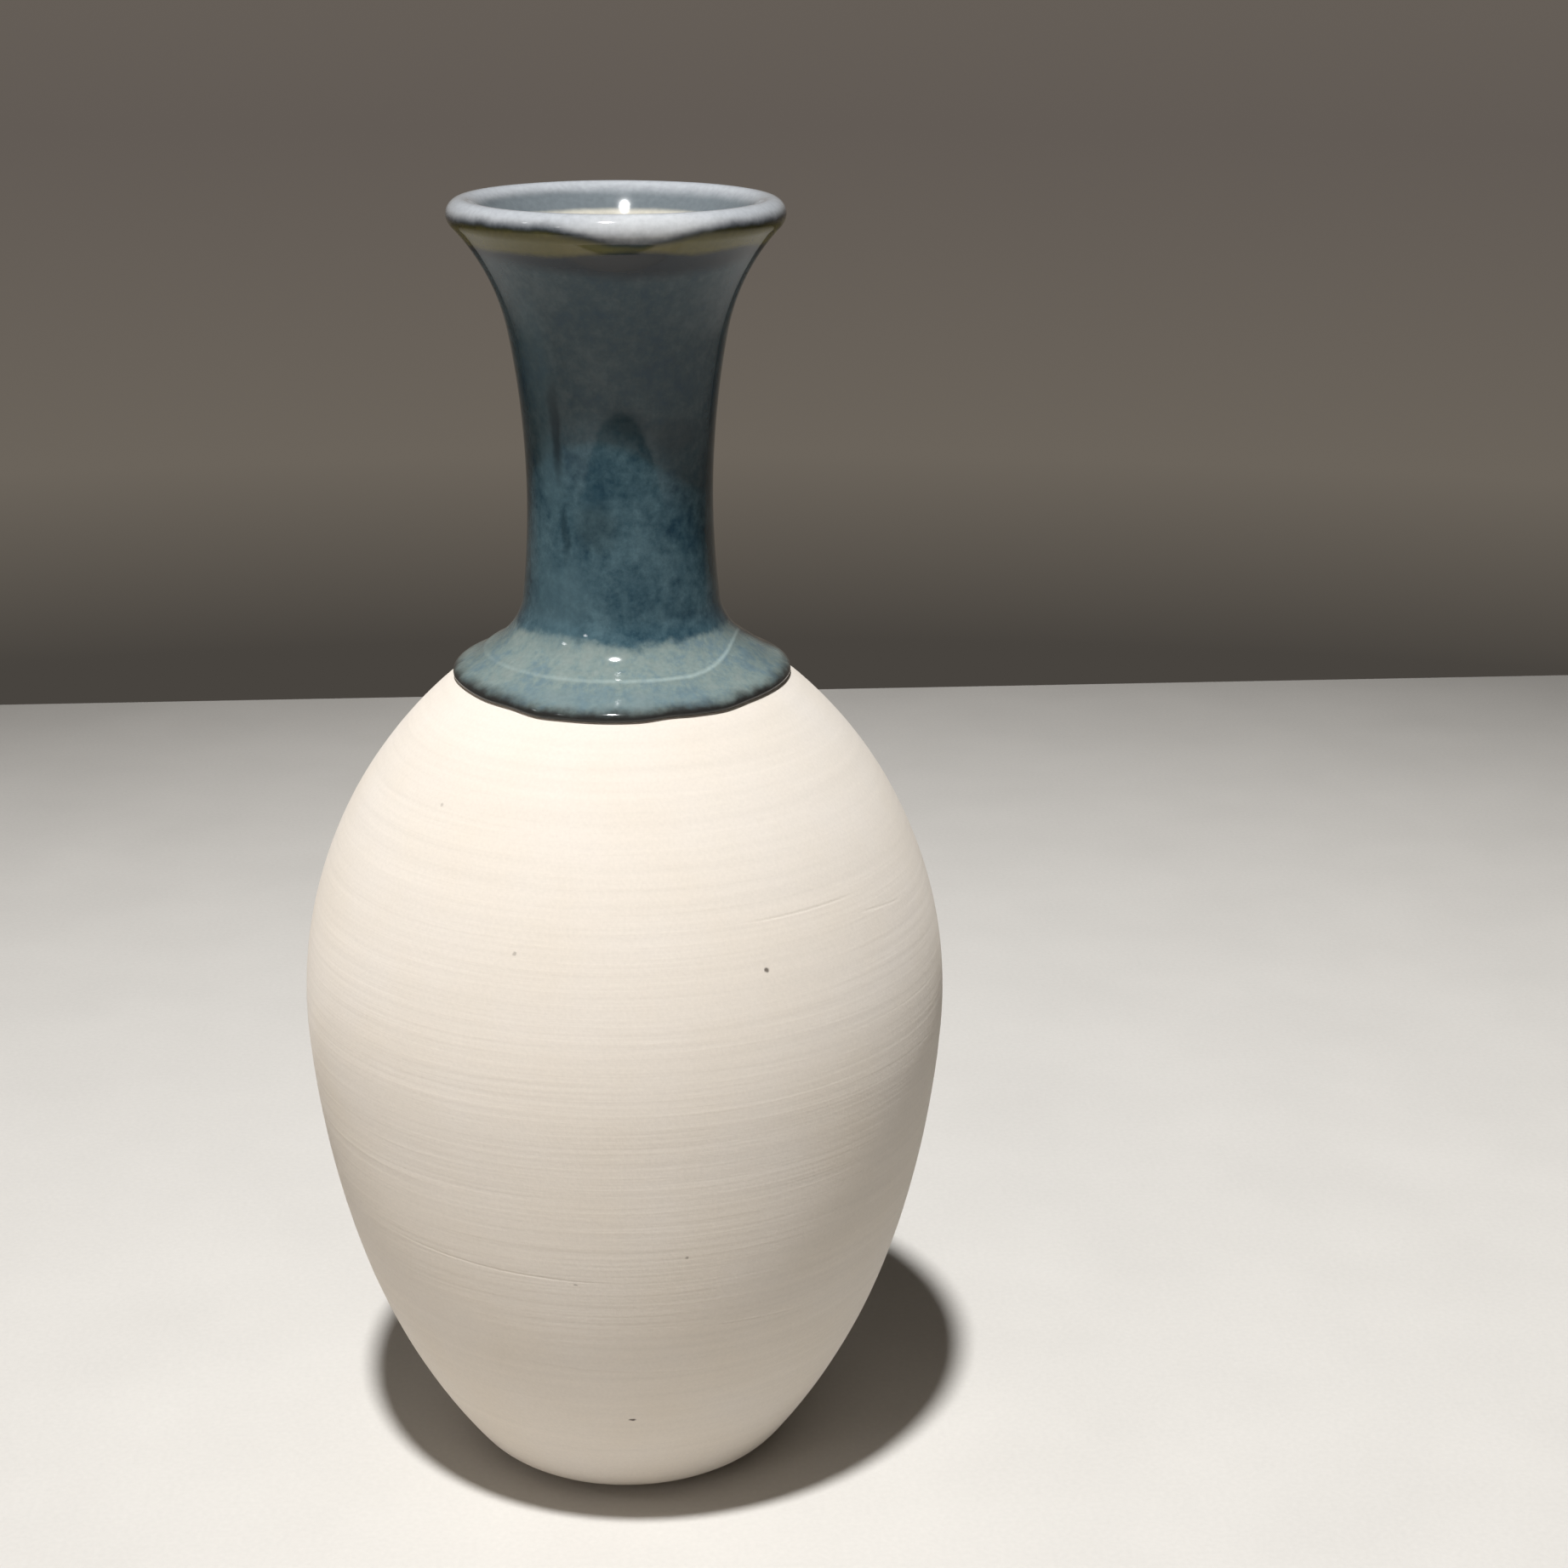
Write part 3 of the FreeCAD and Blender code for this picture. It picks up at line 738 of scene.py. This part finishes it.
def orange_peel(place):
    """The slight unevenness of a fired coat, from 0 to 1."""
    return stretched_noise(place, 9 * MM, 7 * MM)


def slide_edge(piece, centre, base_height, reach):
    """Slides the coat's lower edge along the shoulder so that it wanders as poured glaze does.

    Each place turns about the shoulder's own centre, so the coat stays on the clay."""
    for vertex in piece.data.vertices:
        across = math.hypot(vertex.co.x, vertex.co.y)
        rise = level_at(EDGE_LINE, turn_of(vertex.co)) * MM - base_height
        share = 1 - eased((vertex.co.z - base_height) / reach)
        arm = across - centre.across
        turned = Matrix.Rotation(rise * share / arm, 2)
        out, up = turned @ Vector((arm, vertex.co.z - centre.height))
        scale = (centre.across + out) / across
        vertex.co = (vertex.co.x * scale, vertex.co.y * scale, centre.height + up)


def make_neck_glaze(sizes, colours):
    """The blue coat, from its rolled edge on the shoulder to the dip line."""
    s = sizes
    _, _, _, belly, root, neck, flare, _, _ = outer_rounds(s)
    low = facing_at(belly, 0, EDGE_BASE)
    outside_top = facing_at(flare, s.glaze, s.dip_line)
    inside_top = facing_at(flare, -s.sink, s.dip_line)
    # The rolled edge is a quarter round that stands on the clay
    rolled_facing = low + s.glaze / (belly.radius + s.glaze)
    rolled = Arc(belly.across + belly.radius * math.cos(rolled_facing),
                 belly.height + belly.radius * math.sin(rolled_facing),
                 s.glaze, rolled_facing - math.pi / 2, rolled_facing, 0.1 * MM)
    chain = [belly, root, neck, flare]
    sunk = follow(chain, low, inside_top, -s.sink, 1.2 * MM)
    close = facing_at(belly, 0, EDGE_BASE + EDGE_REACH)
    outside = follow([belly], rolled_facing, close, s.glaze, 0.25 * MM)
    outside += follow(chain, close, outside_top, s.glaze, 0.45 * MM)
    bottom = on_arc(sunk[0], low)
    items = [Point(bottom.x, bottom.z, s.glaze), rolled, *outside, *back_along(sunk)]
    piece = throw("neck_coat", items, 224)
    slide_edge(piece, belly, EDGE_BASE, EDGE_REACH)

    def rolled_bead(place):
        gap = place.z / MM - level_at(EDGE_LINE, turn_of(place))
        uneven = 0.7 + 0.6 * stretched_noise(place, 12 * MM, 12 * MM)
        return eased((gap + 0.2) / 0.5) * (1 - eased((gap - 0.5) / 2.2)) * uneven

    def ring(place):
        gap = place.z / MM - level_at(RING_LINE, turn_of(place))
        return 1 - eased(abs(gap) / 0.6)

    relief(piece, "bead", s.bead, rolled_bead)
    relief(piece, "ring", 0.07 * MM, ring)
    relief(piece, "peel", 0.035 * MM, orange_peel)
    paint_gaps(piece, s)
    material = poured_glaze("blue_stoneware_glaze", colours, False)
    finish_piece(piece, material, "neck_glaze")


def make_lip_glaze(sizes, colours):
    """The milky second dip over the lip, outside and in."""
    s = sizes
    flare, lip, mouth = outer_rounds(s)[-3:]
    chain = [flare, lip, mouth]
    outside = follow(chain, facing_at(flare, s.glaze, s.dip_line),
                     facing_at(mouth, s.glaze, s.dip_line, True), s.glaze, 0.2 * MM)
    sunk = follow(chain, facing_at(flare, -s.sink, s.dip_line),
                  facing_at(mouth, -s.sink, s.dip_line, True), -s.sink, 0.5 * MM)
    start = on_arc(sunk[0], sunk[0].first)
    piece = throw("lip_coat", [Point(start.x, start.z, s.glaze), *outside, *back_along(sunk)], 224)

    relief(piece, "peel", 0.035 * MM, orange_peel)
    paint_gaps(piece, s)
    material = poured_glaze("milky_stoneware_glaze", colours, True)
    finish_piece(piece, material, "lip_glaze")


def make_liner(sizes, colours):
    """The cream coat inside, from the dip line down to the floor."""
    s = sizes
    mouth = outer_rounds(s)[-1]
    inner = inner_rounds(s)
    level, up = math.pi, math.pi / 2

    def inside(skin, spacing):
        top = facing_at(mouth, skin, s.dip_line, True)
        return [*follow([mouth], top, level, skin, spacing),
                *follow(inner, level, up, skin, spacing)]

    shown = inside(s.glaze, 1.2 * MM)
    sunk = inside(-s.sink, 3 * MM)
    items = [Point(0, s.floor_height - s.sink, 3 * MM), *back_along(sunk), *shown,
             Point(0, s.floor_height + s.glaze, 2 * MM)]
    piece = throw("liner_coat", items, 160)
    finish_piece(piece, cream_glaze(colours), "liner_glaze")


# Stage

# Direction towards each lamp, the light it gives at the vase in watts per square metre,
# the full width of its beam in degrees and the point of the table it is aimed at
Lamp = namedtuple("Lamp", "name towards light beam aim")
LAMPS = (
    Lamp("key", (-0.084, -0.327, 1.0), 4.4, 25, (0.03, -0.13, 0)),
    Lamp("small_lamp_low", (-0.587, -0.631, 0.505), 0.05, 30, (0, 0, 0.12)),
    Lamp("small_lamp_side", (-0.732, -0.223, 0.644), 0.05, 30, (0, 0, 0.12)),
)
# Broad enough for soft shadows and small wet glints
LAMP_DISTANCE = 3.0
LAMP_RADIUS = 0.1


def make_stage(colours):
    """Floor, backdrop, lights and camera."""
    # The table runs from under the camera to its far edge, which is a little askew
    width, near_edge, far_edge, skew = 3.0, -0.37, 0.3904, math.radians(1.55)
    depth = far_edge - near_edge
    bpy.ops.object.select_all(action="DESELECT")
    bpy.ops.mesh.primitive_plane_add(size=width, location=(0, far_edge - width / 2, 0))
    table = bpy.context.object
    table.name = "table"
    bpy.ops.object.transform_apply(location=True, rotation=True, scale=True)
    bpy.ops.object.mode_set(mode="EDIT")
    bpy.ops.transform.resize(value=(1, depth / width, 1), center_override=(0, far_edge, 0))
    bpy.ops.transform.rotate(value=-skew, orient_axis="Z", center_override=(0, far_edge, 0))
    bpy.ops.object.mode_set(mode="OBJECT")
    bpy.ops.object.transform_apply(location=True, rotation=True, scale=True)
    table.data.materials.append(pale_plaster(colours))

    world = bpy.data.worlds.new("studio")
    bpy.context.scene.world = world
    world.use_nodes = True
    # The wall is darkest low down, near the table, and the room above is dim
    tree = world.node_tree
    direction = node(tree, "TexCoord").outputs["Generated"]
    rise = node(tree, "SeparateXYZ", {0: direction}).outputs["Z"]
    height = node(tree, "MapRange", {"Value": rise, "From Min": -0.3, "From Max": 0.5})
    wall = node(tree, "ValToRGB", {0: height}, stops=(
        (0.05, colours.wall_low), (0.13, colours.wall), (0.27, colours.wall_high),
        (0.45, colours.wall), (0.8, colours.room)))
    tree.links.new(wall.outputs["Color"], tree.nodes["Background"].inputs["Color"])

    for lamp in LAMPS:
        place = Vector(lamp.towards).normalized() * LAMP_DISTANCE
        bpy.ops.object.light_add(type="SPOT", location=place)
        light = bpy.context.object
        light.name = lamp.name
        light.rotation_euler = (place - Vector(lamp.aim)).to_track_quat("Z", "Y").to_euler()
        light.data.energy = lamp.light * 4 * math.pi * LAMP_DISTANCE ** 2
        light.data.spot_size = math.radians(lamp.beam)
        light.data.spot_blend = 1
        light.data.shadow_soft_size = LAMP_RADIUS

    # A wide soft light low on the left, in front
    place = Vector((-1.5, -2.0, 0.7))
    bpy.ops.object.light_add(type="AREA", location=place)
    fill = bpy.context.object
    fill.name = "fill"
    fill.data.shape = "RECTANGLE"
    fill.data.size = 2.4
    fill.data.size_y = 1.4
    fill.rotation_euler = (place - Vector((0, 0, 0.08))).to_track_quat("Z", "Y").to_euler()
    fill.data.energy = 10
    fill.visible_glossy = False
    fill.data.color = linear("#fff0e0")

    # Camera: above the lip, looking down at the belly
    pitch, yaw, roll = math.radians(18.01), math.radians(3.429), math.radians(0.3)
    forward = Vector((math.sin(yaw) * math.cos(pitch), math.cos(yaw) * math.cos(pitch),
                      -math.sin(pitch)))
    level = Vector((math.cos(yaw), -math.sin(yaw), 0))
    upward = level.cross(forward)
    right = level * math.cos(roll) + upward * math.sin(roll)
    above = upward * math.cos(roll) - level * math.sin(roll)
    bpy.ops.object.camera_add(location=(0, -0.373, 0.221))
    camera = bpy.context.object
    camera.name = "camera"
    camera.rotation_euler = Matrix((right, above, -forward)).transposed().to_euler()
    camera.data.lens = 64.46
    camera.data.sensor_width = 36
    camera.data.clip_start = 0.01
    bpy.context.scene.camera = camera
    bpy.context.scene.view_settings.view_transform = "Standard"


# Operators and panel

class VASE_OT_clay(bpy.types.Operator):
    """Throw and trim the clay body"""

    bl_idname = "vase.clay"
    bl_label = "Clay Body"

    def execute(self, context):
        make_clay(context.scene.vase_sizes, context.scene.vase_colours)
        return {"FINISHED"}


class VASE_OT_neck_glaze(bpy.types.Operator):
    """Pour the blue coat over shoulder and neck"""

    bl_idname = "vase.neck_glaze"
    bl_label = "Neck Glaze"

    def execute(self, context):
        make_neck_glaze(context.scene.vase_sizes, context.scene.vase_colours)
        return {"FINISHED"}


class VASE_OT_lip_glaze(bpy.types.Operator):
    """Dip the lip in the milky coat"""

    bl_idname = "vase.lip_glaze"
    bl_label = "Lip Glaze"

    def execute(self, context):
        make_lip_glaze(context.scene.vase_sizes, context.scene.vase_colours)
        return {"FINISHED"}


class VASE_OT_liner_glaze(bpy.types.Operator):
    """Line the inside with the cream coat"""

    bl_idname = "vase.liner_glaze"
    bl_label = "Liner Glaze"

    def execute(self, context):
        make_liner(context.scene.vase_sizes, context.scene.vase_colours)
        return {"FINISHED"}


class VASE_OT_stage(bpy.types.Operator):
    """Set the table, the lights and the camera"""

    bl_idname = "vase.stage"
    bl_label = "Stage"

    def execute(self, context):
        make_stage(context.scene.vase_colours)
        return {"FINISHED"}


STEPS = (VASE_OT_clay, VASE_OT_neck_glaze, VASE_OT_lip_glaze, VASE_OT_liner_glaze, VASE_OT_stage)


class VASE_PT_steps(bpy.types.Panel):
    """Lists the steps that make the vase"""

    bl_idname = "VASE_PT_steps"
    bl_label = "Ceramic Bud Vase"
    bl_space_type = "VIEW_3D"
    bl_region_type = "UI"
    bl_category = "Vase"

    def draw(self, context):
        for step in STEPS:
            self.layout.operator(step.bl_idname)


CLASSES = (VaseSizes, VaseColours, *STEPS, VASE_PT_steps)


def register():
    for cls in CLASSES:
        bpy.utils.register_class(cls)
    bpy.types.Scene.vase_sizes = bpy.props.PointerProperty(type=VaseSizes)
    bpy.types.Scene.vase_colours = bpy.props.PointerProperty(type=VaseColours)


def unregister():
    del bpy.types.Scene.vase_colours
    del bpy.types.Scene.vase_sizes
    for cls in reversed(CLASSES):
        bpy.utils.unregister_class(cls)


def main():
    register()
    bpy.ops.vase.clay()
    bpy.ops.vase.neck_glaze()
    bpy.ops.vase.lip_glaze()
    bpy.ops.vase.liner_glaze()
    bpy.ops.vase.stage()


if __name__ == "__main__":
    main()
